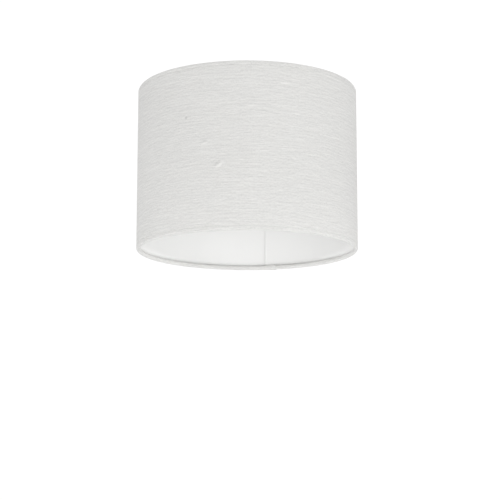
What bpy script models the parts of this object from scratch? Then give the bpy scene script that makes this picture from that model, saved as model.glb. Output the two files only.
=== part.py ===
"""A drum lamp shade, 200 mm across and 149 mm tall, standing on its bottom hem.

Linen is laminated to a stiff liner, rolled into a drum and taped along an overlap.  Its edges turn in
round a wire ring at the top and another at the bottom.  Three spokes drop from the top ring to a
steel washer that sits on the lampholder, and a loose plastic ring narrows its hole for a small one.

Metres, +Z up, origin at the middle of the foot, +Y towards the back, where the overlap is.
Angles are in degrees, anticlockwise from +X as seen from above.
"""
import math

import bmesh
import bpy
from mathutils import Vector

MM = 0.001

# The drum
HEIGHT = 149.0 * MM
OUTER_RADIUS = 100.0 * MM        # over the rolled hems
FACETS = 60                      # flat sides that stand for the round drum

# The laminated strip
LINEN_THICKNESS = 0.5 * MM
LINER_THICKNESS = 0.4 * MM
LINER_GAP = 0.2 * MM             # between the linen and the liner
WALL_INSET = 0.2 * MM            # the wall lies this far inside the hems' outermost line
SEAM_TAPE_THICKNESS = 0.15 * MM
SEAM_TAPE_GAP = 0.1 * MM         # on each side of the seam tape
SEAM_TAPE_SIDE_MARGIN = 0.6      # degrees, so the tape is a little narrower than the overlap
SEAM_TAPE_END_MARGIN = 8.0 * MM  # from each rim

# The overlap, where the strip's two ends meet
INNER_END_ANGLE = 80.0           # the end that lies inside stops here
OVERLAP_ANGLE = 6.5              # 11 mm of overlap
LIFT_RAMP_ANGLE = 7.5            # the outer end comes back to the drum over this angle
HEM_END_GAP_ANGLE = 0.3          # the hem's two ends almost touch

# The rolled hems, each round a wire ring
HEM_RADIUS = 2.25 * MM           # outside of the roll
HEM_STEP_ANGLE = 36.0
HEM_STEPS = 8                    # the roll stops short of a full turn, where the linen is tucked in
GROOVE_HEIGHT = 4.4 * MM         # the shallow groove where the ring ends and the wall begins
GROOVE_DEPTH = 0.4 * MM
WALL_START = 5.2 * MM            # above this the strip is a plain wall
LINER_EDGE = 5.6 * MM            # the liner stops this far from each rim

# The wire rings and their tape
RING_WIRE_RADIUS = 1.25 * MM
RING_TAPE_INNER_RADIUS = 1.4 * MM
RING_TAPE_THICKNESS = 0.2 * MM
RING_TAPE_STEPS = 4              # the tape covers this many steps of the ring's outer side

# The spokes
SPOKE_ANGLES = (30.0, 150.0, 270.0)
SPOKE_WIRE_RADIUS = 1.25 * MM
SPOKE_LEVEL_LENGTH = 10.0 * MM   # runs level from the ring before it drops
SPOKE_FOOT_START = 36.0 * MM     # radius at which it is level again, under the washer
SPOKE_FOOT_END = 22.5 * MM
SPOKE_BEND_RADIUS = 8.0 * MM
SPOKE_BEND_STEPS = 4
JOINT_GAP = 0.3 * MM             # left between pieces that touch
NOTCH_WIDTH = 4.5 * MM           # slit in the top hem for a spoke
NOTCH_OUTER_REACH = 1.15 * MM    # past the ring's centre line, so it takes in the tucked edge
NOTCH_DEPTH = 4.4 * MM           # from there inwards, past the hem's inner side
NOTCH_TOP_CLEARANCE = 0.35 * MM
NOTCH_LENGTH = 6.0 * MM

# The fitter washer and the reducer that rests in it
FITTER_RECESS = 25.0 * MM        # the washer's top face lies this far below the top rim
FITTER_THICKNESS = 1.2 * MM
FITTER_OUTER_RADIUS = 28.0 * MM
FITTER_HOLE_RADIUS = 21.0 * MM
REDUCER_FLANGE_RADIUS = 24.0 * MM
REDUCER_FLANGE_THICKNESS = 1.5 * MM
REDUCER_NECK_RADIUS = 20.7 * MM
REDUCER_NECK_WALL = 1.5 * MM
REDUCER_DEPTH = 3.0 * MM         # the neck reaches this far below the flange
REDUCER_WEB_THICKNESS = 1.5 * MM
REDUCER_HOLE_RADIUS = 14.3 * MM
SMALL_RING_FACETS = 48

# Worked out from the sizes above
HEM_CENTRE_RADIUS = OUTER_RADIUS - HEM_RADIUS
HEM_CENTRE_HEIGHT = HEM_RADIUS * math.cos(math.radians(HEM_STEP_ANGLE / 2))  # one flat side rests
WALL_RADIUS = OUTER_RADIUS - WALL_INSET
LINER_RADIUS = WALL_RADIUS - LINEN_THICKNESS - LINER_GAP
LAYER_PITCH = (WALL_RADIUS - LINER_RADIUS + LINER_THICKNESS
               + SEAM_TAPE_THICKNESS + 2 * SEAM_TAPE_GAP)
OUTER_END_ANGLE = INNER_END_ANGLE - OVERLAP_ANGLE
RING_HEIGHTS = {"bottom": HEM_CENTRE_HEIGHT, "top": HEIGHT - HEM_CENTRE_HEIGHT}
FITTER_TOP = HEIGHT - FITTER_RECESS

WHITE_LINEN = (0.80, 0.80, 0.79)
WHITE_PLASTIC = (0.84, 0.84, 0.83)
WHITE_ENAMEL = (0.78, 0.78, 0.77)
CLEAR_TAPE = (0.72, 0.70, 0.62)


def clear_scene():
    for thing in list(bpy.data.objects):
        bpy.data.objects.remove(thing)


def new_collection(name):
    collection = bpy.data.collections.new(name)
    bpy.context.scene.collection.children.link(collection)
    return collection


def material(name, colour, roughness, metallic=0.0):
    made = bpy.data.materials.new(name)
    made.use_nodes = True
    shader = made.node_tree.nodes["Principled BSDF"]
    shader.inputs["Base Color"].default_value = (*colour, 1.0)
    shader.inputs["Roughness"].default_value = roughness
    shader.inputs["Metallic"].default_value = metallic
    return made


def add_object(name, data, collection, look=None):
    made = bpy.data.objects.new(name, data)
    collection.objects.link(made)
    if look:
        data.materials.append(look)
    return made


# ---- The strip: linen, liner and tape, rolled into a drum ----

def on_facets(radius, angle):
    """The radius at this angle on the flat-sided drum whose corners lie on the circle."""
    half_side = math.pi / FACETS
    from_corner = math.radians(angle) % (2 * half_side)
    return radius * math.cos(half_side) / math.cos(from_corner - half_side)


def outer_end_lift(angle):
    """How far the strip's outer end stands off the inner one, at this angle along the strip."""
    ramp = (angle - INNER_END_ANGLE) / LIFT_RAMP_ANGLE
    ramp = min(max(ramp, 0.0), 1.0)
    return LAYER_PITCH * (1.0 - ramp * ramp * (3.0 - 2.0 * ramp))


def strip_point(angle, radius, height):
    turn = math.radians(angle)
    reach = on_facets(radius, angle)
    return (reach * math.cos(turn), reach * math.sin(turn), height)


def strip_columns(start, end, extras=()):
    """Angles from start to end: the drum's corners in between, and any others that are asked for."""
    side = 360.0 / FACETS
    corners = (side * count for count in range(math.floor(start / side) + 1, math.ceil(end / side)))
    return sorted({start, end, *corners, *extras})


def formed_sheet(name, columns, rows, place, keep=None):
    """An open sheet from a flat grid: place gives each corner its spot, keep picks the faces."""
    column_count = len(columns) - 1
    row_count = len(rows) - 1
    grid = bmesh.new()
    bmesh.ops.create_grid(grid, x_segments=column_count, y_segments=row_count, size=0.5)
    unwanted = []
    for face in grid.faces:
        middle = face.calc_center_median()
        column = math.floor((middle.x + 0.5) * column_count)
        row = math.floor((middle.y + 0.5) * row_count)
        if keep and not keep(column, row):
            unwanted.append(face)
    for corner in grid.verts:
        column = round((corner.co.x + 0.5) * column_count)
        row = round((corner.co.y + 0.5) * row_count)
        corner.co = place(columns[column], rows[row])
    bmesh.ops.delete(grid, geom=unwanted, context="FACES")
    mesh = bpy.data.meshes.new(name)
    grid.to_mesh(mesh)
    grid.free()
    mesh.shade_smooth()
    mesh.set_sharp_from_angle(angle=math.radians(50.0))
    return mesh


def thicken(sheet, thickness):
    solidify = sheet.modifiers.new("thickness", "SOLIDIFY")
    solidify.thickness = thickness
    solidify.offset = -1.0
    solidify.use_even_offset = True


def hem_section():
    """The linen's section as (radius, height, share of the lift), from one tucked edge to the other."""
    bottom = []
    for step in range(HEM_STEPS, -1, -1):
        angle = math.radians(-HEM_STEP_ANGLE * step)
        bottom.append((HEM_CENTRE_RADIUS + HEM_RADIUS * math.cos(angle),
                       HEM_CENTRE_HEIGHT + HEM_RADIUS * math.sin(angle), 0.0))
    bottom.append((OUTER_RADIUS - GROOVE_DEPTH, GROOVE_HEIGHT, 0.0))
    bottom.append((WALL_RADIUS, WALL_START, 1.0))
    top = [(radius, HEIGHT - height, share) for radius, height, share in reversed(bottom)]
    return bottom + top


def spoke_notches(collection):
    """Boxes that open the top hem from its tucked edge, so that the spokes can reach the ring."""
    top = RING_HEIGHTS["top"] + SPOKE_WIRE_RADIUS + NOTCH_TOP_CLEARANCE
    middle = HEM_CENTRE_RADIUS + NOTCH_OUTER_REACH - NOTCH_DEPTH / 2
    cutters = []
    for number, angle in enumerate(SPOKE_ANGLES, 1):
        box = bmesh.new()
        bmesh.ops.create_cube(box, size=1.0)
        bmesh.ops.scale(box, vec=(NOTCH_DEPTH, NOTCH_WIDTH, NOTCH_LENGTH), verts=box.verts)
        bmesh.ops.translate(box, vec=(middle, 0.0, 0.0), verts=box.verts)
        mesh = bpy.data.meshes.new(f"notch_cutter_{number}")
        box.to_mesh(mesh)
        box.free()
        cutter = add_object(mesh.name, mesh, collection)
        cutter.location.z = top - NOTCH_LENGTH / 2
        cutter.rotation_euler.z = math.radians(angle)
        cutter.hide_render = True
        cutter.display_type = "WIRE"
        cutters.append(cutter)
    return cutters


def linen_cover(collection, cutters, look):
    hem_end = OUTER_END_ANGLE + 360.0 - HEM_END_GAP_ANGLE
    columns = strip_columns(OUTER_END_ANGLE, INNER_END_ANGLE + 360.0, (INNER_END_ANGLE, hem_end))
    rows = hem_section()
    wall_row = len(rows) // 2 - 1
    hem_end_column = columns.index(hem_end)

    def place(angle, row):
        radius, height, share = row
        return strip_point(angle, radius + share * outer_end_lift(angle), height)

    def keep(column, row):
        return column < hem_end_column or row == wall_row

    mesh = formed_sheet("linen_cover", columns, rows, place, keep)
    cover = add_object("linen_cover", mesh, collection, look)
    thicken(cover, LINEN_THICKNESS)
    for cutter in cutters:
        cut = cover.modifiers.new("spoke notch", "BOOLEAN")
        cut.operation = "DIFFERENCE"
        cut.solver = "EXACT"
        cut.object = cutter


def liner(collection, look):
    columns = strip_columns(OUTER_END_ANGLE, INNER_END_ANGLE + 360.0, (INNER_END_ANGLE,))

    def place(angle, height):
        return strip_point(angle, LINER_RADIUS + outer_end_lift(angle), height)

    mesh = formed_sheet("liner", columns, (LINER_EDGE, HEIGHT - LINER_EDGE), place)
    thicken(add_object("liner", mesh, collection, look), LINER_THICKNESS)


def seam_tape(collection, look):
    """Double-sided tape between the overlap's two layers."""
    columns = strip_columns(OUTER_END_ANGLE + SEAM_TAPE_SIDE_MARGIN,
                            INNER_END_ANGLE - SEAM_TAPE_SIDE_MARGIN)
    radius = WALL_RADIUS + SEAM_TAPE_GAP + SEAM_TAPE_THICKNESS

    def place(angle, height):
        return strip_point(angle, radius, height)

    heights = (SEAM_TAPE_END_MARGIN, HEIGHT - SEAM_TAPE_END_MARGIN)
    mesh = formed_sheet("seam_tape", columns, heights, place)
    thicken(add_object("seam_tape", mesh, collection, look), SEAM_TAPE_THICKNESS)


# ---- Turned pieces ----

def turned(name, loop, facets, collection, look):
    """A ring turned from a closed section at +X that runs down its outer side."""
    mesh = bpy.data.meshes.new(name)
    edges = [(corner, (corner + 1) % len(loop)) for corner in range(len(loop))]
    mesh.from_pydata([(radius, 0.0, height) for radius, height in loop], edges, [])
    made = add_object(name, mesh, collection, look)
    screw = made.modifiers.new("turn", "SCREW")
    screw.steps = facets
    screw.render_steps = facets
    screw.use_merge_vertices = True
    screw.merge_threshold = 0.00001
    return made


def arc(centre_radius, radius, start_step, end_step):
    """Corners on a hem's step angles, from one step to another, clockwise in the section."""
    points = []
    for step in range(start_step, end_step - 1, -1):
        angle = math.radians(HEM_STEP_ANGLE * step)
        points.append((centre_radius + radius * math.cos(angle), radius * math.sin(angle)))
    return points


def wire_ring(end, collection, look):
    steps = round(360.0 / HEM_STEP_ANGLE)
    loop = arc(HEM_CENTRE_RADIUS, RING_WIRE_RADIUS, steps, 1)
    ring = turned(f"{end}_ring", loop, FACETS, collection, look)
    ring.location.z = RING_HEIGHTS[end]


def ring_tape(end, collection, look):
    """Double-sided tape on the ring's outer side, under the hem."""
    half = RING_TAPE_STEPS // 2
    outside = arc(HEM_CENTRE_RADIUS, RING_TAPE_INNER_RADIUS + RING_TAPE_THICKNESS, half, -half)
    inside = arc(HEM_CENTRE_RADIUS, RING_TAPE_INNER_RADIUS, half, -half)
    tape = turned(f"{end}_ring_tape", outside + inside[::-1], FACETS, collection, look)
    tape.location.z = RING_HEIGHTS[end]


def fitter_ring(collection, look):
    loop = [(FITTER_OUTER_RADIUS, 0.0), (FITTER_OUTER_RADIUS, -FITTER_THICKNESS),
            (FITTER_HOLE_RADIUS, -FITTER_THICKNESS), (FITTER_HOLE_RADIUS, 0.0)]
    washer = turned("fitter_ring", loop, SMALL_RING_FACETS, collection, look)
    washer.location.z = FITTER_TOP


def reducer_ring(collection, look):
    """The loose plastic ring: a flange on the washer, a neck through its hole, a web with the hole."""
    neck_inside = REDUCER_NECK_RADIUS - REDUCER_NECK_WALL
    web_top = REDUCER_WEB_THICKNESS - REDUCER_DEPTH
    loop = [(REDUCER_FLANGE_RADIUS, REDUCER_FLANGE_THICKNESS), (REDUCER_FLANGE_RADIUS, 0.0),
            (REDUCER_NECK_RADIUS, 0.0), (REDUCER_NECK_RADIUS, -REDUCER_DEPTH),
            (REDUCER_HOLE_RADIUS, -REDUCER_DEPTH), (REDUCER_HOLE_RADIUS, web_top),
            (neck_inside, web_top), (neck_inside, REDUCER_FLANGE_THICKNESS)]
    ring = turned("reducer_ring", loop, SMALL_RING_FACETS, collection, look)
    ring.location.z = FITTER_TOP + JOINT_GAP


# ---- The spokes ----

def rounded_corner(before, corner, after, radius, steps):
    """Points along an arc of this radius that replaces the corner of a bent wire."""
    into = (corner - before).normalized()
    out = (after - corner).normalized()
    turn = into.angle(out)
    start = corner - into * radius * math.tan(turn / 2)
    points = []
    for step in range(steps + 1):
        angle = turn * step / steps
        side = (out - into * math.cos(turn)) / math.sin(turn)
        points.append(start + into * radius * math.sin(angle) + side * radius * (1 - math.cos(angle)))
    return points


def spoke(number, angle, collection, look):
    """A bent wire in its own upright plane: level at the ring, sloping, level under the washer."""
    ring_side = HEM_CENTRE_RADIUS - RING_WIRE_RADIUS - JOINT_GAP
    foot_height = FITTER_TOP - FITTER_THICKNESS - JOINT_GAP - SPOKE_WIRE_RADIUS
    corners = [(ring_side, RING_HEIGHTS["top"]),
               (ring_side - SPOKE_LEVEL_LENGTH, RING_HEIGHTS["top"]),
               (SPOKE_FOOT_START, foot_height),
               (SPOKE_FOOT_END, foot_height)]
    corners = [Vector((radius, 0.0, height)) for radius, height in corners]
    path = [corners[0]]
    for before, corner, after in zip(corners, corners[1:], corners[2:]):
        path += rounded_corner(before, corner, after, SPOKE_BEND_RADIUS, SPOKE_BEND_STEPS)
    path.append(corners[-1])

    curve = bpy.data.curves.new(f"spoke_{number}", "CURVE")
    curve.dimensions = "3D"
    curve.bevel_depth = SPOKE_WIRE_RADIUS
    curve.bevel_resolution = 2
    curve.use_fill_caps = True
    wire = curve.splines.new("POLY")
    wire.points.add(len(path) - 1)
    for point, place in zip(wire.points, path):
        point.co = (*place, 1.0)
    made = add_object(curve.name, curve, collection, look)
    made.rotation_euler.z = math.radians(angle)


def build():
    clear_scene()
    parts = new_collection("lamp_shade")
    cutters = new_collection("cutters")
    tape_look = material("clear tape", CLEAR_TAPE, 0.4)
    frame_look = material("white enamel on steel", WHITE_ENAMEL, 0.4)

    linen_cover(parts, spoke_notches(cutters), material("white linen", WHITE_LINEN, 0.9))
    liner(parts, material("white liner", WHITE_PLASTIC, 0.5))
    seam_tape(parts, tape_look)
    for end in RING_HEIGHTS:
        wire_ring(end, parts, frame_look)
        ring_tape(end, parts, tape_look)
    for number, angle in enumerate(SPOKE_ANGLES, 1):
        spoke(number, angle, parts, frame_look)
    fitter_ring(parts, frame_look)
    reducer_ring(parts, material("white moulded plastic", WHITE_PLASTIC, 0.35))


build()
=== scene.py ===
"""The looks of a small white drum lamp shade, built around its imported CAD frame.

Slubbed linen over a smooth white liner, hems rolled round wire rings, an enamelled wire fitting with
a washer, and a loose moulded ring in the washer.  Metres; angles in degrees, anticlockwise from +X as
seen from above; the back, where the drum's overlap is, faces +Y.
"""

import math

import bmesh
import bpy
import numpy as np
from mathutils import Matrix, Vector


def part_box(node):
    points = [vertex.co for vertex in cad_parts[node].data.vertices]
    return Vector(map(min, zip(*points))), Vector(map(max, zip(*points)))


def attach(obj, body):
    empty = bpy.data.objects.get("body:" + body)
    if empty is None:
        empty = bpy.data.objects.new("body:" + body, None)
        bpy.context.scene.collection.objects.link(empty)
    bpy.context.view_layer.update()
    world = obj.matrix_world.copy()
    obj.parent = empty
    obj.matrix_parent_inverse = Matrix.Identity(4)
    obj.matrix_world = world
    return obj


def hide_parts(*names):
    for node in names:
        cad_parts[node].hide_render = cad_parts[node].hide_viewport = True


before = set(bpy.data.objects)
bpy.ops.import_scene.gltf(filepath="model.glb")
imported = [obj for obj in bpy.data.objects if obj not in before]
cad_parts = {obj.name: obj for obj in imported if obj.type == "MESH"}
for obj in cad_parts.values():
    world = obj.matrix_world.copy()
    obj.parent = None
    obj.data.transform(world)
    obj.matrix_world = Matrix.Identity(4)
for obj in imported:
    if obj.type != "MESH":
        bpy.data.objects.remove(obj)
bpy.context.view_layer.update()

MM = 0.001

# ---- Sizes read from the frame ----

COVER_LOW, COVER_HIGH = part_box("linen_cover")
TOP_RING_LOW, TOP_RING_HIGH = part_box("top_ring")
BOTTOM_RING_LOW, BOTTOM_RING_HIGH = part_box("bottom_ring")
FITTER_LOW, FITTER_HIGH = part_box("fitter_ring")
REDUCER_LOW, REDUCER_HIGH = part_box("reducer_ring")

HEIGHT = COVER_HIGH.z - COVER_LOW.z
OUTER_RADIUS = COVER_HIGH.x
TOP_RING_HEIGHT = (TOP_RING_LOW.z + TOP_RING_HIGH.z) / 2
BOTTOM_RING_HEIGHT = (BOTTOM_RING_LOW.z + BOTTOM_RING_HIGH.z) / 2
RING_WIRE_RADIUS = 1.25 * MM
RING_RADIUS = TOP_RING_HIGH.x - RING_WIRE_RADIUS

# ---- The laminated strip, in layers thinner than the CAD's ----

LINEN_THICKNESS = 0.36 * MM
LINER_THICKNESS = 0.26 * MM
LINER_GAP = 0.06 * MM            # the glue between linen and liner
WALL_INSET = 0.2 * MM            # from the hems' outline in to the plain wall
LAYER_PITCH = 0.78 * MM          # from one layer of the overlap to the next
INNER_END = 80.0                 # angle at which the inner end stops
OVERLAP = 6.5
OUTER_END = INNER_END - OVERLAP
STRIP_END = INNER_END + 360.0    # the inner end, as it is counted along the strip
LIFT_RAMP = 7.5                  # degrees over which the outer layer comes down to the wall
LAID_DOWN = INNER_END + LIFT_RAMP + 2.0     # the outer layer is down on the wall before here
WALL_RADIUS = OUTER_RADIUS - WALL_INSET
OUT_OF_ROUND = 0.10 * MM

LINER_RADIUS = WALL_RADIUS - LINEN_THICKNESS - LINER_GAP
LINER_EDGE = 4.5 * MM            # from each rim to the liner's edge
LINER_BOW = 0.07 * MM
LINER_CURL = 0.45 * MM           # how far the liner's end bends inwards
LINER_CURL_REACH = 1.2           # over this many degrees
LINER_COLUMN = 1.5
LINER_END_STRETCH = 7.4          # last degrees of the liner, where its columns are finer
LINER_END_COLUMNS = 14
LINER_ROWS = 40
TAPE_THICKNESS = 0.06 * MM
TAPE_LIFT = 0.08 * MM            # from the inner layer to the tape's outer face
TAPE_MARGIN = 0.6                # degrees from the overlap's ends to the tape
TAPE_COLUMNS = 9
TAPE_ROWS = 30

# ---- The rolled hems ----

# The hem's outer face round its wire: (direction from outwards over the top, mm from the wire's middle)
HEM_SECTION = ((61.4, 2.50), (75.0, 2.09), (90.0, 1.87), (110.0, 1.79), (140.0, 1.75), (180.0, 1.76),
               (215.0, 1.88), (250.0, 2.08), (270.0, 2.12), (300.0, 2.13), (330.0, 2.10), (360.0, 2.06))
HEM_RISES = (0.35, 0.75, 1.15, 1.5, 1.85, 2.15, 2.45, 2.8, 3.3, 4.0)     # its rows above the roll, in mm
HEM_TURN = 10.3 * MM             # how much cloth goes round a wire, from the tucked edge to the outside
HEM_UNEVENNESS = 0.04 * MM
HEM_PAIR = 12.0 * MM             # about what the two hems take of the height
TUCK_SWING = 5.0                 # degrees by which the tucked edge wanders
WALL_REACHED = 2.6 * MM          # height above the wire at which the hem has run into the wall
LIFT_REACHED = 3.2 * MM          # and at which the outer end stands off in full
GROOVE_HEIGHT = 3.95 * MM
GROOVE_DEPTH = 0.42 * MM
GROOVE_WIDTH = 0.42 * MM

# Where the outer end's hem is rolled over the inner end's, the bead grows by this much
DOUBLED_THICKER = 0.6 * MM
DOUBLED_OUT = 0.4 * MM
DOUBLED_UP = 0.3 * MM
DOUBLED_GROOVE_UP = 0.8 * MM
DOUBLED_STEPS = ((0.35, 0.8), (0.65, 4.5))      # share of that, and the degrees it takes to set in

# ---- The linen's mesh ----

FINE_COLUMN = 0.55               # columns in degrees, rows in metres
EVEN_COLUMN = 1.9
KNOT_COLUMNS = np.arange(253.2, 259.5, 0.6)     # across the largest knot
END_STRETCH = 10.0               # last degrees of the strip, where its columns are fine again
END_COLUMNS = 16
WALL_ROW = 0.9 * MM
ROLL_ROWS = 18
SNIPPED_ROWS = ROLL_ROWS + 5     # rows of hem cut away at the inner end, beneath the doubled hem
SNIPPED_PAST = 1.2               # degrees by which that end's hem runs on beneath it
SPOKE_ANGLES = (30.0, 150.0, 270.0)
SLIT_HALF = 0.04                 # half the slit's width where it ends, at the top of the roll
SLIT_OPEN = 1.35                 # and at the tucked edge, both in degrees
SLIT_MARGIN = 1.6                # from a slit's middle to the next columns, in degrees
SLIT_ROWS = ROLL_ROWS * 0.72

# ---- The cloth ----

SLUB_COUNT = 1500
SLUB_HEIGHT = 0.13 * MM
SLUB_REACH = (3.0, 17.0)         # least and greatest half length, in mm
SLUB_THICKNESS = (0.42, 0.75)
SLUB_SLOPE = 0.012
SLUB_STRENGTH = (0.2, 1.0)
WEFT_PITCH = 0.85 * MM           # from one crosswise yarn to the next
WARP_PITCH = 0.80 * MM
WEFT_CHANGES = 36.0              # how often a yarn thickens and thins, per metre of its length
WARP_CHANGES = 70.0
YARN_APART = 7.31                # keeps neighbouring yarns' thick places apart
YARN_RELIEF = 0.3 * MM
WANDER = 0.45 * MM               # how far the yarns stray slowly, and in kinks
KINK = 0.28 * MM
LIGHTNESS_MIDDLE = 0.62
LIGHTNESS_CONTRAST = 1.5
LINEN_DARK = (0.657, 0.655, 0.643)
LINEN_LIGHT = (0.908, 0.905, 0.888)
FINE_RELIEF = 0.05 * MM          # of the smooth materials

# Knots and a fleck in the cloth. Beside two of the knots is a sunk, darker mark that is that knot's painted
# shadow. Columns: angle, height in mm, half length and half width in mm, slope in degrees, how much lighter
# (negative is darker), and how far raised in mm
KNOTS = ((256.4, 57.3, 5.8, 1.5, 38.0, 0.55, 0.33),
         # the mark below is the first knot's painted shadow
         (255.1, 59.2, 5.4, 1.7, 35.0, -0.32, -0.12),
         (248.6, 77.3, 3.8, 1.3, 12.0, 0.42, 0.2),
         # the mark below is the second knot's painted shadow
         (248.3, 79.1, 3.6, 1.4, 14.0, -0.32, -0.08),
         (238.1, 101.8, 1.6, 1.5, 0.0, -1.2, 0.1),
         (277.0, 69.0, 11.0, 0.8, 2.0, 0.35, 0.12),
         (289.0, 130.0, 5.0, 0.8, -4.0, 0.4, 0.12))
KNOT_CONTRAST = 1.4

# ---- The wire fitting and the loose ring ----

RING_STEP = 2.5                  # degrees from one point of a ring's wire to the next
SPOKE_BEND = 8.0 * MM            # radius of the spokes' bends
SPOKE_LEVEL = 10.0 * MM          # how far a spoke runs level from the ring before it bends down
SPOKE_FOOT = 36.0 * MM           # radius at which it is level again, above the washer
RING_WELD = (0.9 * MM, 1.5 * MM, 1.42 * MM)     # half the size of a weld bead: out, across and up
FOOT_WELD = (3.2 * MM, 1.5 * MM, 0.7 * MM)
RING_WELD_OUT = 0.2 * MM         # from each end of a spoke out to its bead
FOOT_WELD_OUT = 3.0 * MM
WASHER_HOLE = 21.0 * MM
WASHER_EDGE = 0.28 * MM          # how far its edges are rounded
INSERT_EDGE = 0.3 * MM
INSERT_SKIN = 1.5 * MM           # thickness of the loose ring's flange and floor
INSERT_BODY = (20.7 * MM, 20.6 * MM)        # radii of its faces at their top and at their bottom
INSERT_RECESS = (19.3 * MM, 19.1 * MM)
INSERT_HOLE = (14.4 * MM, 14.3 * MM)

# ---- The studio ----

FLOOR_HEIGHT = -1.3
FLOOR_REACH = 40.0
WHITE = (1.0, 1.0, 1.0, 1.0)
BACKDROP_STRENGTH = 1.05         # the white that the camera sees
FILL_STRENGTH = 0.84             # the white that lights the shade

# Name, place, target, spread in degrees, radius and power
SPOT_LIGHTS = (
    ("mouth", (0.42, -1.18, -0.6), (0.004, 0.098, 0.025), 6.2, 0.04, 8.8),
    ("mouth from the right", (1.05, -0.6, -0.27), (-0.086, 0.038, 0.010), 8.0, 0.06, 4.8),
    ("mouth from the left", (-1.05, -0.6, -0.27), (0.098, -0.01, 0.004), 3.6, 0.06, 12.0),
    ("under the left rim", (-1.10, 0.265, -0.07), (0.080, 0.056, 0.004), 3.3, 0.04, 23.0),
    ("under the right rim", (1.10, 0.265, -0.07), (-0.078, 0.058, 0.004), 3.3, 0.04, 20.0),
    ("left edge", (-1.10, -0.2, -0.45), (-0.098, -0.015, 0.025), 5.0, 0.06, 6.5),
    ("upper right", (0.75, -0.95, -0.1), (0.075, -0.062, 0.112), 5.0, 0.06, 4.0))

# Name, place, target, width and power
AREA_LIGHTS = (
    ("key", (0.22, -1.08, -0.28), (0.0, 0.0, 0.05), 0.5, 2.3),
    ("under", (0.0, -0.3, -1.1), (0.0, 0.05, 0.0), 0.4, 0.9),
    ("left side", (-1.1, 0.1, -0.6), (-0.1, 0.0, 0.03), 0.4, 0.6))

CAMERA_PLACE = (0.0, -1.432, -0.2672)
CAMERA_TURN = (90.0 + 10.626, -0.055, -0.117)
CAMERA_LENS = 116.22

rng = np.random.default_rng(20)


# ---- Building helpers ----

def smoothstep(x):
    x = np.clip(x, 0.0, 1.0)
    return x * x * (3.0 - 2.0 * x)


def around_axis(radius, turn, height):
    """points[column, row] at these radii, turns in radians and heights, which broadcast together."""
    return np.stack(np.broadcast_arrays(radius * np.cos(turn), radius * np.sin(turn), height), axis=-1)


def grid_mesh(name, points, uv=None, keep=None, closed=False):
    """A mesh of quads over points[column, row], and the indices of the points that it uses.

    keep marks the quads to make, uv is in metres, and closed joins the last column to the first."""
    columns, rows = points.shape[:2]
    index = np.arange(columns * rows).reshape(columns, rows)
    if closed:
        index = np.concatenate([index, index[:1]])
    quads = np.stack([index[:-1, :-1], index[1:, :-1], index[1:, 1:], index[:-1, 1:]], axis=-1)
    if keep is not None:
        quads = quads[keep]
    quads = quads.reshape(-1, 4)
    used, inverse = np.unique(quads, return_inverse=True)
    mesh = bpy.data.meshes.new(name)
    mesh.from_pydata(points.reshape(-1, 3)[used].tolist(), [], inverse.reshape(-1, 4).tolist())
    if uv is not None:
        layer = mesh.uv_layers.new(name="cloth")
        layer.data.foreach_set("uv", uv.reshape(-1, 2)[quads.reshape(-1)].astype(np.float32).ravel())
    mesh.shade_smooth()
    return mesh, used


def put_in_scene(name, data):
    made = bpy.data.objects.new(name, data)
    bpy.context.scene.collection.objects.link(made)
    return made


def add_piece(name, data, body, material, replaced):
    """A visible piece that rides on a body and stands in for one CAD node."""
    piece = put_in_scene(name, data)
    data.materials.append(material)
    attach(piece, body)
    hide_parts(replaced)
    return piece


def solidify(piece, thickness):
    shell = piece.modifiers.new("thickness", "SOLIDIFY")
    shell.thickness = thickness
    shell.offset = -1.0


# ---- Shader helpers ----

def node(tree, kind, inputs=None, **settings):
    """A shader node; an input is a plain value or the socket to link."""
    made = tree.nodes.new(kind)
    for name, value in settings.items():
        setattr(made, name, value)
    for key, value in (inputs or {}).items():
        if isinstance(value, bpy.types.NodeSocket):
            tree.links.new(value, made.inputs[key])
        else:
            made.inputs[key].default_value = value
    return made


def maths(tree, operation, *values):
    made = node(tree, "ShaderNodeMath", dict(enumerate(values)), operation=operation)
    return made.outputs[0]


def weighted(tree, parts):
    """The sum of sockets, each times its weight."""
    total = 0.0
    for socket, weight in parts:
        total = maths(tree, "ADD", total, maths(tree, "MULTIPLY", socket, weight))
    return total


def noise(tree, vector, scale=1.0, detail=2.0, roughness=0.5):
    made = node(tree, "ShaderNodeTexNoise",
                {"Vector": vector, "Scale": scale, "Detail": detail, "Roughness": roughness})
    return made.outputs["Fac"]


def stretched(tree, vector, across, up):
    """The cloth's coordinates, in features per metre across and up."""
    made = node(tree, "ShaderNodeMapping", {"Vector": vector, "Scale": (across, up, 1.0)})
    return made.outputs["Vector"]


def colour_between(tree, factor, dark, light):
    """A colour that runs from dark to light as factor goes from 0 to 1."""
    mixed = node(tree, "ShaderNodeMix", {"Factor": factor}, data_type="RGBA")
    mixed.inputs["A"].default_value = (*dark, 1.0)
    mixed.inputs["B"].default_value = (*light, 1.0)
    return mixed.outputs["Result"]


def new_material(name, **plain):
    """A material with its Principled shader's plain values set; returns it with its tree and shader."""
    material = bpy.data.materials.new(name)
    material.use_nodes = True
    shader = material.node_tree.nodes["Principled BSDF"]
    for key, value in plain.items():
        shader.inputs[key.replace("_", " ")].default_value = value
    return material, material.node_tree, shader


def vary_colour(tree, shader, pattern, dark, light):
    tree.links.new(colour_between(tree, pattern, dark, light), shader.inputs["Base Color"])


def vary_roughness(tree, shader, pattern, least, most):
    rough = node(tree, "ShaderNodeMapRange", {"Value": pattern, "To Min": least, "To Max": most})
    tree.links.new(rough.outputs["Result"], shader.inputs["Roughness"])


def add_bump(tree, shader, height, strength, relief):
    bump = node(tree, "ShaderNodeBump", {"Height": height, "Strength": strength, "Distance": relief})
    tree.links.new(bump.outputs["Normal"], shader.inputs["Normal"])


# ---- The linen's material ----

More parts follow.
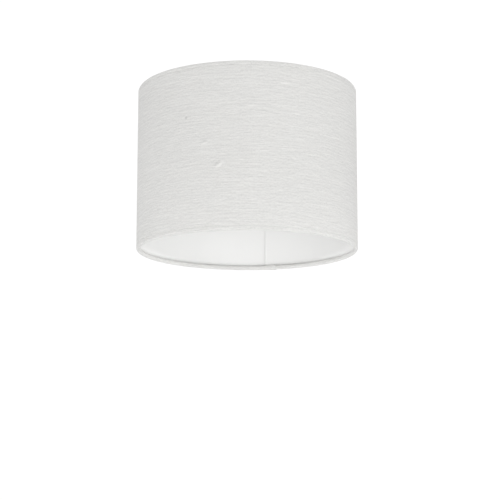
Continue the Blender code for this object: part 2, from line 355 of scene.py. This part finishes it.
def yarn_places(tree, across, pitch):
    """(place counted in yarns, number of the yarn there, offset from its middle) across the yarns."""
    turns = maths(tree, "DIVIDE", across, pitch)
    number = maths(tree, "FLOOR", turns)
    offset = maths(tree, "SUBTRACT", maths(tree, "FRACT", turns), 0.5)
    return turns, number, offset


def yarn_body(tree, along, number, changes):
    """How thick each numbered yarn is at each place along it, about 0 to 1."""
    own = node(tree, "ShaderNodeCombineXYZ",
               {"X": maths(tree, "MULTIPLY", along, changes),
                "Y": maths(tree, "MULTIPLY", number, YARN_APART)})
    return noise(tree, own.outputs["Vector"], detail=5.0, roughness=1.0)


def over_and_under(tree, crossing_turns, number, side):
    """A yarn's rise and fall as it passes over and under the yarns it crosses, -1 to 1."""
    from_middle = maths(tree, "SUBTRACT", crossing_turns, 0.5)
    swing = maths(tree, "COSINE", maths(tree, "MULTIPLY", from_middle, math.pi))
    odd = maths(tree, "FLOORED_MODULO", number, 2.0)
    flip = maths(tree, "MULTIPLY_ADD", odd, -2.0 * side, side)
    return maths(tree, "MULTIPLY", swing, flip)


def yarn_height(tree, offset, body, swing):
    """A rounded yarn, wider and higher where its body is thick."""
    half_width = maths(tree, "MULTIPLY_ADD", body, 0.3, 0.36)
    reach = maths(tree, "DIVIDE", offset, half_width)
    round_top = maths(tree, "SUBTRACT", 1.0, maths(tree, "MULTIPLY", reach, reach))
    round_top = maths(tree, "MAXIMUM", round_top, 0.0)
    return weighted(tree, ((round_top, 0.7), (swing, 0.3), (body, 0.5)))


def knot_centre(angle, height):
    """A knot's place across and up the cloth, from its angle and its height in mm."""
    return (math.radians(angle - OUTER_END) * OUTER_RADIUS,
            HEM_TURN + height * MM - BOTTOM_RING_HEIGHT)


def knot_marks(tree, place):
    """How much the knots lighten the cloth, and the fleck and the knots' painted shadows darken it, from
    their middles out to nothing at their outlines.
    """
    marks = []
    for angle, height, half_length, half_width, slope, lighter, _ in KNOTS:
        own = node(tree, "ShaderNodeMapping",
                   {"Vector": place, "Location": (*knot_centre(angle, height), 0.0),
                    "Rotation": (0.0, 0.0, math.radians(slope)),
                    "Scale": (half_length * MM, half_width * MM, 1.0)}, vector_type="TEXTURE")
        distance = node(tree, "ShaderNodeVectorMath", {0: own.outputs["Vector"]}, operation="LENGTH")
        inside = maths(tree, "SUBTRACT", 1.0, distance.outputs["Value"])
        marks.append((maths(tree, "MAXIMUM", inside, 0.0), KNOT_CONTRAST * lighter))
    return weighted(tree, marks)


def straying_axes(tree, place):
    """The cloth's coordinates across and up, bent as its yarns stray."""
    axes = node(tree, "ShaderNodeSeparateXYZ", {"Vector": place})
    slow = noise(tree, stretched(tree, place, 14.0, 40.0))
    quick = noise(tree, stretched(tree, place, 420.0, 420.0))
    sway = weighted(tree, ((maths(tree, "SUBTRACT", slow, 0.5), WANDER),
                           (maths(tree, "SUBTRACT", quick, 0.5), KINK)))
    return maths(tree, "ADD", axes.outputs["X"], sway), maths(tree, "ADD", axes.outputs["Y"], sway)


def linen_colour(tree, place, lightness):
    """The linen's white, from how light it is, with faintly warm and cool patches."""
    whiteness = colour_between(tree, lightness, LINEN_DARK, LINEN_LIGHT)
    patches = noise(tree, stretched(tree, place, 14.0, 20.0))
    tint = colour_between(tree, patches, (1.0, 0.995, 0.99), (0.998, 1.0, 1.0))
    colour = node(tree, "ShaderNodeMix", {"Factor": 1.0}, data_type="RGBA", blend_type="MULTIPLY")
    tree.links.new(whiteness, colour.inputs["A"])
    tree.links.new(tint, colour.inputs["B"])
    return colour.outputs["Result"]


def linen_material():
    """Plain-woven white linen: uneven yarns, slubs that run crosswise, and a soft nap, with shade painted
    beneath thick yarns and between yarns.
    """
    material, tree, shader = new_material(
        "slubbed linen", Roughness=0.92, Specular_IOR_Level=0.25,
        Sheen_Weight=0.25, Sheen_Roughness=0.6)
    place = node(tree, "ShaderNodeUVMap", uv_map="cloth").outputs["UV"]
    across, up = straying_axes(tree, place)
    weft_turns, weft_number, weft_offset = yarn_places(tree, up, WEFT_PITCH)
    warp_turns, warp_number, warp_offset = yarn_places(tree, across, WARP_PITCH)

    # Each yarn thickens and thins along its own length, whatever its neighbours do
    weft_body, shade_from_weft_above, shade_from_second_weft = (
        yarn_body(tree, across, maths(tree, "ADD", weft_number, step), WEFT_CHANGES)
        for step in (0.0, 1.0, 2.0))
    warp_body = yarn_body(tree, up, warp_number, WARP_CHANGES)
    weft_swing = over_and_under(tree, warp_turns, weft_number, 1.0)
    warp_swing = over_and_under(tree, weft_turns, warp_number, -1.0)
    weave = maths(tree, "MAXIMUM", yarn_height(tree, weft_offset, weft_body, weft_swing),
                  yarn_height(tree, warp_offset, warp_body, warp_swing))
    add_bump(tree, shader, weave, 0.8, YARN_RELIEF)

    # A weft yarn is lighter where it is thick. It is darker where the two yarns above it are thick, which is
    # painted shade cast by those yarns. The weave's height lightens the yarns' tops, which paints shade into
    # the hollows between them. The slubs, streaks and crossing yarns give the cloth's own uneven tone.
    slub = node(tree, "ShaderNodeAttribute", attribute_name="slub").outputs["Fac"]
    streaks = noise(tree, stretched(tree, place, 80.0, 900.0))
    lightness = weighted(tree, ((weft_body, 1.3), (shade_from_weft_above, -0.75), (shade_from_second_weft, -0.3), (streaks, 0.1),
                                (warp_body, 0.45), (weave, 0.25), (slub, 0.13)))
    lightness = maths(tree, "SUBTRACT", lightness, LIGHTNESS_MIDDLE)
    lightness = maths(tree, "ADD", maths(tree, "MULTIPLY", lightness, LIGHTNESS_CONTRAST), 0.5)
    lightness = maths(tree, "ADD", lightness, knot_marks(tree, place))
    tree.links.new(linen_colour(tree, place, lightness), shader.inputs["Base Color"])
    return material


# ---- The other materials ----

def liner_material():
    """Smooth white styrene sheet with a satin face and a faint mottle."""
    material, tree, shader = new_material("styrene liner", Specular_IOR_Level=0.4)
    place = node(tree, "ShaderNodeTexCoord").outputs["Object"]
    cloud = noise(tree, place, 22.0, detail=3.0)
    vary_colour(tree, shader, cloud, (0.9, 0.9, 0.892), (0.922, 0.922, 0.914))
    vary_roughness(tree, shader, cloud, 0.48, 0.62)
    add_bump(tree, shader, noise(tree, place, 900.0), 0.12, FINE_RELIEF)
    return material


def enamel_material():
    """White stove enamel on steel: a soft gloss with a fine orange peel."""
    material, tree, shader = new_material("white enamel", Specular_IOR_Level=0.5, Coat_Weight=0.15)
    place = node(tree, "ShaderNodeTexCoord").outputs["Object"]
    cloud = noise(tree, place, 120.0, detail=3.0)
    vary_colour(tree, shader, cloud, (0.79, 0.79, 0.775), (0.84, 0.84, 0.83))
    vary_roughness(tree, shader, cloud, 0.28, 0.42)
    add_bump(tree, shader, noise(tree, place, 1500.0), 0.25, FINE_RELIEF)
    return material


def moulded_material():
    """White moulded plastic with faint flow marks."""
    material, tree, shader = new_material("moulded plastic", Specular_IOR_Level=0.45)
    place = node(tree, "ShaderNodeTexCoord").outputs["Object"]
    flow = noise(tree, place, 260.0, detail=3.0)
    vary_colour(tree, shader, flow, (0.85, 0.85, 0.835), (0.885, 0.885, 0.875))
    vary_roughness(tree, shader, flow, 0.36, 0.5)
    add_bump(tree, shader, flow, 0.15, FINE_RELIEF)
    return material


def tape_material():
    """Double-sided tape, yellowish, with small trapped bubbles."""
    material, tree, shader = new_material("double-sided tape", Roughness=0.35)
    place = node(tree, "ShaderNodeTexCoord").outputs["Object"]
    bubbles = noise(tree, place, 700.0)
    vary_colour(tree, shader, bubbles, (0.66, 0.64, 0.55), (0.76, 0.74, 0.66))
    add_bump(tree, shader, bubbles, 0.3, FINE_RELIEF)
    return material


# ---- The linen's shape ----

def outer_end_lift(angle):
    """How far the strip's outer end stands off the inner one, at this angle along the strip."""
    return LAYER_PITCH * (1.0 - smoothstep((angle - INNER_END) / LIFT_RAMP))


def doubled_hem(angle):
    """1 where the outer end's hem is rolled over the inner end's, 0 elsewhere."""
    return sum(share * smoothstep((INNER_END - angle) / degrees) for share, degrees in DOUBLED_STEPS)


def wavy(angle, seed, waves=7):
    """A slow unevenness round the drum, about -1 to 1; the same at an angle and a turn later."""
    draw = np.random.default_rng(seed)
    turn = np.radians(angle)
    total = np.zeros_like(turn)
    for order in range(2, 2 + waves):
        total += draw.normal() / order ** 0.5 * np.sin(order * turn + draw.uniform(0, 6.28))
    return total / 2.0


def slit_angles():
    """Where along the strip the spokes pass."""
    return [angle + 360.0 if angle < OUTER_END else angle for angle in SPOKE_ANGLES]


def strip_angles():
    """The columns: fine at the overlap, the largest knot and the spokes' slits, even elsewhere."""
    fine_start = np.arange(OUTER_END, LAID_DOWN, FINE_COLUMN)
    even = np.arange(LAID_DOWN + 0.6, STRIP_END - END_STRETCH - 1.0, EVEN_COLUMN)
    even = even[(even < KNOT_COLUMNS[0] - 0.5) | (even > KNOT_COLUMNS[-1] + 0.5)]
    fine_end = np.linspace(STRIP_END - END_STRETCH, STRIP_END, END_COLUMNS)
    angles = np.concatenate([fine_start, even, KNOT_COLUMNS, fine_end])
    for slit in slit_angles():
        angles = angles[np.abs(angles - slit) > SLIT_MARGIN + 0.4 * EVEN_COLUMN]
        beside = [slit - SLIT_MARGIN, slit - SLIT_HALF, slit + SLIT_HALF, slit + SLIT_MARGIN]
        angles = np.append(angles, beside)
    return np.sort(angles)


def hem_profile(angle, doubles, seed):
    """One hem's section at every angle, from its tucked edge to the plain wall.

    Returns radius and height arrays [column, row], the height counted from the rim inwards."""
    spread = HEM_UNEVENNESS * wavy(angle, seed) + doubles * DOUBLED_THICKER
    centre_radius = RING_RADIUS + doubles * DOUBLED_OUT
    centre_height = BOTTOM_RING_HEIGHT + doubles * DOUBLED_UP
    directions, distances = np.array(HEM_SECTION).T
    tuck = directions[0] + TUCK_SWING * wavy(angle, seed + 1)
    turn = tuck[:, None] + (360.0 - tuck[:, None]) * np.linspace(0.0, 1.0, ROLL_ROWS)
    roll = np.interp(turn, directions, distances) * MM + spread[:, None]
    roll_radius = centre_radius[:, None] + roll * np.cos(np.radians(turn))
    roll_height = centre_height[:, None] + roll * np.sin(np.radians(turn))

    rise = np.array(HEM_RISES) * MM
    height = centre_height[:, None] + rise
    lift = outer_end_lift(angle)[:, None] * smoothstep(rise / LIFT_REACHED)
    off_groove = height - doubles[:, None] * DOUBLED_GROOVE_UP - GROOVE_HEIGHT
    groove = GROOVE_DEPTH * np.exp(-(off_groove / GROOVE_WIDTH) ** 2)
    blend = smoothstep(rise / WALL_REACHED)
    radius = roll_radius[:, -1:] * (1.0 - blend) + WALL_RADIUS * blend - groove + lift
    return (np.concatenate([roll_radius, radius], axis=1),
            np.concatenate([roll_height, height], axis=1))


def strip_profile(angle):
    """The linen's smooth outer face, as radius and height arrays [column, row] from hem to hem."""
    doubles = doubled_hem(angle)
    low_radius, low_height = hem_profile(angle, doubles, seed=11)
    high_radius, high_height = hem_profile(angle, doubles, seed=31)
    start = low_height[:, -1:]
    end = HEIGHT - high_height[:, -1:]
    wall_rows = round((HEIGHT - HEM_PAIR) / WALL_ROW)
    wall_height = start + (end - start) * np.linspace(0.0, 1.0, wall_rows)[1:-1]
    wall_radius = np.broadcast_to((WALL_RADIUS + outer_end_lift(angle))[:, None], wall_height.shape)
    return (np.concatenate([low_radius, wall_radius, high_radius[:, ::-1]], axis=1),
            np.concatenate([low_height, wall_height, HEIGHT - high_height[:, ::-1]], axis=1))


def cloth_coordinates(angle, radius, height):
    """Every point's place on the flat cloth: metres from its outer end, and from its bottom edge."""
    steps = np.cumsum(np.hypot(np.diff(radius), np.diff(height)), axis=1)
    up = np.concatenate([np.zeros((len(angle), 1)), steps], axis=1).mean(axis=0)
    across = np.radians(angle - angle[0])[:, None] * OUTER_RADIUS
    return np.broadcast_arrays(across, up)


def slub_relief(across, up):
    """Crosswise slubs: short thick stretches of single yarns.  Returns each point's height, 0 to 1."""
    relief = np.zeros(across.shape)
    width, length = across.max(), up.max()
    for _ in range(SLUB_COUNT):
        centre_across = rng.uniform(0.0, width)
        centre_up = rng.uniform(0.0, length)
        reach = rng.uniform(*SLUB_REACH) * MM
        thick = rng.uniform(*SLUB_THICKNESS) * MM
        slope = rng.normal(0.0, SLUB_SLOPE)
        strength = rng.uniform(*SLUB_STRENGTH) ** 2
        near = (np.abs(across - centre_across) < reach) & (np.abs(up - centre_up) < 4.0 * thick)
        if not near.any():
            continue
        along = (across[near] - centre_across) / reach
        off = (up[near] - centre_up - slope * (across[near] - centre_across)) / thick
        relief[near] += strength * (1.0 - along ** 2) ** 2 * np.exp(-off ** 2)
    return relief


def knot_relief(across, up):
    """How far the knots stand up from the cloth, or sink into it, in metres."""
    raised = np.zeros(across.shape)
    for angle, height, half_length, half_width, slope, _, rise in KNOTS:
        centre_across, centre_up = knot_centre(angle, height)
        right = across - centre_across
        above = up - centre_up
        lean = math.radians(slope)
        along = (right * math.cos(lean) + above * math.sin(lean)) / (half_length * MM)
        off = (above * math.cos(lean) - right * math.sin(lean)) / (half_width * MM)
        raised += rise * MM * np.exp(-2.0 * (along ** 2 + off ** 2))
    return raised


def cut_hems(angle, turn, keep):
    """Open a slit in the top hem for each spoke, and snip the inner end's hems; changes turn and keep."""
    rows = turn.shape[1]
    from_roll_top = np.clip((np.arange(rows) - (rows - SLIT_ROWS)) / SLIT_ROWS, 0.0, 1.0)
    roll_top = int(np.argmax(from_roll_top > 0.0)) - 1
    for slit in slit_angles():
        left = int(np.argmin(np.abs(angle - (slit - SLIT_HALF))))
        turn[left] -= np.radians(SLIT_OPEN) * from_roll_top
        turn[left + 1] += np.radians(SLIT_OPEN) * from_roll_top
        keep[left, roll_top:] = False
    snipped = angle[:-1] > OUTER_END + 360.0 + SNIPPED_PAST
    keep[snipped, :SNIPPED_ROWS] = False
    keep[snipped, -SNIPPED_ROWS:] = False


def linen_strip():
    """Points, cloth coordinates, slub heights and kept quads of the linen's outer face."""
    angle = strip_angles()
    radius, height = strip_profile(angle)
    across, up = cloth_coordinates(angle, radius, height)
    relief = slub_relief(across, up)

    run = np.gradient(radius, axis=1)
    rise = np.gradient(height, axis=1)
    size = np.hypot(run, rise)
    outward = relief * SLUB_HEIGHT + knot_relief(across, up)
    outward += OUT_OF_ROUND * wavy(angle, seed=5)[:, None] * np.sin(math.pi * height / HEIGHT)
    radius = radius + outward * rise / size
    height = height - outward * run / size

    turn = np.radians(angle)[:, None] + 0.0 * radius
    keep = np.ones((turn.shape[0] - 1, turn.shape[1] - 1), bool)
    cut_hems(angle, turn, keep)
    return around_axis(radius, turn, height), np.stack([across, up], axis=-1), relief, keep


def make_linen(material):
    points, uv, relief, keep = linen_strip()
    mesh, used = grid_mesh("linen", points, uv, keep)
    slub = mesh.attributes.new("slub", "FLOAT", "POINT")
    slub.data.foreach_set("value", np.clip(relief.reshape(-1)[used], 0.0, 1.5).astype(np.float32))
    piece = add_piece("linen", mesh, "shade", material, "linen_cover")
    solidify(piece, LINEN_THICKNESS)


# ---- The liner, and the tape in the overlap ----

def make_liner(material):
    angle = np.concatenate([np.arange(OUTER_END + 0.2, LAID_DOWN, FINE_COLUMN),
                            np.arange(LAID_DOWN + 0.5, STRIP_END - LINER_END_STRETCH - 0.6, LINER_COLUMN),
                            np.linspace(STRIP_END - LINER_END_STRETCH, STRIP_END, LINER_END_COLUMNS)])
    height = np.linspace(LINER_EDGE, HEIGHT - LINER_EDGE, LINER_ROWS)
    bow = LINER_BOW * wavy(angle, seed=8)[:, None] * np.sin(math.pi * height / HEIGHT)
    near_end = np.clip((angle - STRIP_END + LINER_CURL_REACH) / LINER_CURL_REACH, 0.0, 1.0)
    radius = (LINER_RADIUS + outer_end_lift(angle) - LINER_CURL * near_end ** 2)[:, None] + bow
    mesh, _ = grid_mesh("inner_liner", around_axis(radius, np.radians(angle)[:, None], height))
    piece = add_piece("inner_liner", mesh, "shade", material, "liner")
    solidify(piece, LINER_THICKNESS)


def make_overlap_tape(material):
    low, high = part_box("seam_tape")
    angle = np.linspace(OUTER_END + TAPE_MARGIN, INNER_END - TAPE_MARGIN, TAPE_COLUMNS)
    height = np.linspace(low.z, high.z, TAPE_ROWS)
    points = around_axis(WALL_RADIUS + TAPE_LIFT, np.radians(angle)[:, None], height)
    mesh, _ = grid_mesh("overlap_tape", points)
    piece = add_piece("overlap_tape", mesh, "shade", material, "seam_tape")
    solidify(piece, TAPE_THICKNESS)


# ---- The wire frame ----

def wire_curve(name, path, radius, closed=False):
    curve = bpy.data.curves.new(name, "CURVE")
    curve.dimensions = "3D"
    curve.bevel_depth = radius
    curve.bevel_resolution = 6
    curve.use_fill_caps = True
    line = curve.splines.new("POLY")
    line.points.add(len(path) - 1)
    line.use_cyclic_u = closed
    line.use_smooth = True
    for point, place in zip(line.points, path):
        point.co = (*place, 1.0)
    return curve


def make_ring(name, height, replaced, material):
    turns = np.radians(np.arange(0.0, 360.0, RING_STEP))
    path = [(RING_RADIUS * math.cos(t), RING_RADIUS * math.sin(t), height) for t in turns]
    curve = wire_curve(name, path, RING_WIRE_RADIUS, closed=True)
    add_piece(name, curve, "shade", material, replaced)


def rounded_corner(before, corner, after, radius, steps=10):
    """Points along an arc of this radius that replaces the corner of a bent wire."""
    into = (corner - before).normalized()
    out = (after - corner).normalized()
    turn = into.angle(out)
    side = (out - into * math.cos(turn)) / math.sin(turn)
    start = corner - into * radius * math.tan(turn / 2)
    angles = [turn * step / steps for step in range(steps + 1)]
    return [start + into * radius * math.sin(a) + side * radius * (1 - math.cos(a)) for a in angles]


def spoke_path(ring_side, foot_end, foot_height):
    """A spoke's middle line in the XZ plane, from the ring in and down to the washer."""
    corners = [Vector((radius, 0.0, height)) for radius, height in
               ((ring_side, TOP_RING_HEIGHT), (ring_side - SPOKE_LEVEL, TOP_RING_HEIGHT),
                (SPOKE_FOOT, foot_height), (foot_end, foot_height))]
    path = [corners[0]]
    for before, corner, after in zip(corners, corners[1:], corners[2:]):
        path += rounded_corner(before, corner, after, SPOKE_BEND)
    return path + [corners[-1]]


def add_weld(joined, place, size, seed):
    """A small lumpy weld bead that joins a wire's end to what it meets."""
    draw = np.random.default_rng(seed)
    bead = bmesh.new()
    bmesh.ops.create_icosphere(bead, subdivisions=3, radius=1.0)
    for corner in bead.verts:
        swell = 0.05 * math.sin(9.0 * corner.co.x + draw.uniform(0, 0.3))
        lumps = 1.0 + swell * math.cos(7.0 * corner.co.z)
        corner.co = Vector(c * s * lumps for c, s in zip(corner.co, size)) + place
    bead_mesh = bpy.data.meshes.new("bead")
    bead.to_mesh(bead_mesh)
    bead.free()
    joined.from_mesh(bead_mesh)


def make_spoke(number, angle, material):
    # The third spoke lies along -Y, so its box tells how far all three reach
    low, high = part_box("spoke_3")
    wire = (high.x - low.x) / 2
    ring_side = -low.y
    foot_end = -high.y
    foot_height = low.z + wire
    curve = wire_curve("bent wire", spoke_path(ring_side, foot_end, foot_height), wire)
    bent = bpy.data.objects.new("bent wire", curve)
    tube = bpy.data.meshes.new_from_object(bent)
    bpy.data.objects.remove(bent)

    joined = bmesh.new()
    joined.from_mesh(tube)
    bmesh.ops.remove_doubles(joined, verts=joined.verts, dist=0.01 * MM)
    ring_bead = Vector((ring_side + RING_WELD_OUT, 0.0, TOP_RING_HEIGHT))
    foot_bead = Vector((foot_end + FOOT_WELD_OUT, 0.0, foot_height + wire * 0.9))
    add_weld(joined, ring_bead, RING_WELD, seed=number)
    add_weld(joined, foot_bead, FOOT_WELD, seed=number + 10)
    mesh = bpy.data.meshes.new(f"spoke_wire_{number}")
    joined.to_mesh(mesh)
    joined.free()
    mesh.transform(Matrix.Rotation(math.radians(angle), 4, "Z"))
    mesh.shade_smooth()
    add_piece(f"spoke_wire_{number}", mesh, "shade", material, f"spoke_{number}")


# ---- The washer and the loose ring ----

def softened(loop, width, steps=3):
    """A section's corners rounded off: each becomes a short arc, width back along both sides."""
    soft = []
    count = len(loop)
    for at in range(count):
        before, corner, after = (Vector(loop[(at + k) % count]) for k in (-1, 0, 1))
        start = corner + (before - corner).normalized() * width
        end = corner + (after - corner).normalized() * width
        for step in range(steps + 1):
            t = step / steps
            soft.append(start * (1 - t) ** 2 + corner * 2 * t * (1 - t) + end * t ** 2)
    return soft


def turned_mesh(name, loop, segments=160):
    """A closed section turned round the Z axis; the section runs down its outer side."""
    turns = np.linspace(0.0, 2 * math.pi, segments, endpoint=False)[:, None]
    section = np.array([tuple(point) for point in loop])[::-1]
    section = np.concatenate([section, section[:1]])
    mesh, _ = grid_mesh(name, around_axis(section[:, 0], turns, section[:, 1]), closed=True)
    joined = bmesh.new()
    joined.from_mesh(mesh)
    bmesh.ops.remove_doubles(joined, verts=joined.verts, dist=0.001 * MM)
    bmesh.ops.recalc_face_normals(joined, faces=joined.faces)
    joined.to_mesh(mesh)
    joined.free()
    mesh.shade_smooth()
    mesh.set_sharp_from_angle(angle=math.radians(40.0))
    return mesh


def make_washer(material):
    top, bottom, outside = FITTER_HIGH.z, FITTER_LOW.z, FITTER_HIGH.x
    loop = [(outside, top), (outside, bottom), (WASHER_HOLE, bottom), (WASHER_HOLE, top)]
    mesh = turned_mesh("fitter_washer", softened(loop, WASHER_EDGE))
    add_piece("fitter_washer", mesh, "shade", material, "fitter_ring")


def make_reducer(material):
    """A flange that lies on the washer, a body in its hole, and a floor round the small hole."""
    top, bottom, outside = REDUCER_HIGH.z, REDUCER_LOW.z, REDUCER_HIGH.x
    seat = top - INSERT_SKIN
    floor_top = bottom + INSERT_SKIN
    loop = [(outside, top), (outside, seat), (INSERT_BODY[0], seat), (INSERT_BODY[1], bottom),
            (INSERT_HOLE[1], bottom), (INSERT_HOLE[0], floor_top),
            (INSERT_RECESS[1], floor_top), (INSERT_RECESS[0], top)]
    mesh = turned_mesh("reducer_insert", softened(loop, INSERT_EDGE))
    add_piece("reducer_insert", mesh, "reducer", material, "reducer_ring")


# ---- The studio ----

def make_stage():
    floor_mesh = bpy.data.meshes.new("floor")
    corners = [(side * FLOOR_REACH, end * FLOOR_REACH, FLOOR_HEIGHT)
               for side, end in ((-1, -1), (1, -1), (1, 1), (-1, 1))]
    floor_mesh.from_pydata(corners, [], [(0, 1, 2, 3)])
    floor = put_in_scene("floor", floor_mesh)
    material, _, _ = new_material("pale floor", Roughness=0.9, Base_Color=(0.94, 0.94, 0.94, 1.0))
    floor_mesh.materials.append(material)


def add_light(light, place, target, power):
    """Put a light in the scene, out of the camera's sight and turned to its target."""
    light.energy = power
    lamp = put_in_scene(light.name, light)
    lamp.visible_camera = False
    lamp.location = place
    lamp.rotation_euler = (Vector(target) - Vector(place)).to_track_quat("-Z", "Y").to_euler()


def make_lights():
    for name, place, target, spread, radius, power in SPOT_LIGHTS:
        light = bpy.data.lights.new(name, "SPOT")
        light.spot_size = math.radians(spread)
        light.spot_blend = 1.0
        light.shadow_soft_size = radius
        add_light(light, place, target, power)
    for name, place, target, width, power in AREA_LIGHTS:
        light = bpy.data.lights.new(name, "AREA")
        light.shape = "DISK"
        light.size = width
        add_light(light, place, target, power)


def make_world():
    """White all round: one strength behind the shade, another to light it."""
    world = bpy.data.worlds.new("studio")
    bpy.context.scene.world = world
    world.use_nodes = True
    tree = world.node_tree
    backdrop = tree.nodes["Background"]
    backdrop.inputs["Color"].default_value = WHITE
    backdrop.inputs["Strength"].default_value = BACKDROP_STRENGTH
    fill = node(tree, "ShaderNodeBackground", {"Color": WHITE, "Strength": FILL_STRENGTH})
    seen = node(tree, "ShaderNodeLightPath").outputs["Is Camera Ray"]
    both = node(tree, "ShaderNodeMixShader", {0: seen, 1: fill.outputs[0], 2: backdrop.outputs[0]})
    tree.links.new(both.outputs[0], tree.nodes["World Output"].inputs["Surface"])


def make_camera():
    camera_data = bpy.data.cameras.new("camera")
    camera_data.sensor_width = 36.0
    camera_data.lens = CAMERA_LENS
    camera = put_in_scene("camera", camera_data)
    camera.location = CAMERA_PLACE
    camera.rotation_euler = [math.radians(turn) for turn in CAMERA_TURN]
    bpy.context.scene.camera = camera
    bpy.context.scene.view_settings.view_transform = "Standard"


# ---- Assembly ----

make_camera()
make_stage()
make_world()
make_lights()

linen_look = linen_material()
enamel_look = enamel_material()
tape_look = tape_material()
make_linen(linen_look)
make_liner(liner_material())
make_overlap_tape(tape_look)
make_ring("top_wire", TOP_RING_HEIGHT, "top_ring", enamel_look)
make_ring("bottom_wire", BOTTOM_RING_HEIGHT, "bottom_ring", enamel_look)
for spoke_number, spoke_direction in enumerate(SPOKE_ANGLES, 1):
    make_spoke(spoke_number, spoke_direction, enamel_look)
make_washer(enamel_look)
make_reducer(moulded_material())
for tape_node in ("top_ring_tape", "bottom_ring_tape"):
    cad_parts[tape_node].data.materials[0] = tape_look
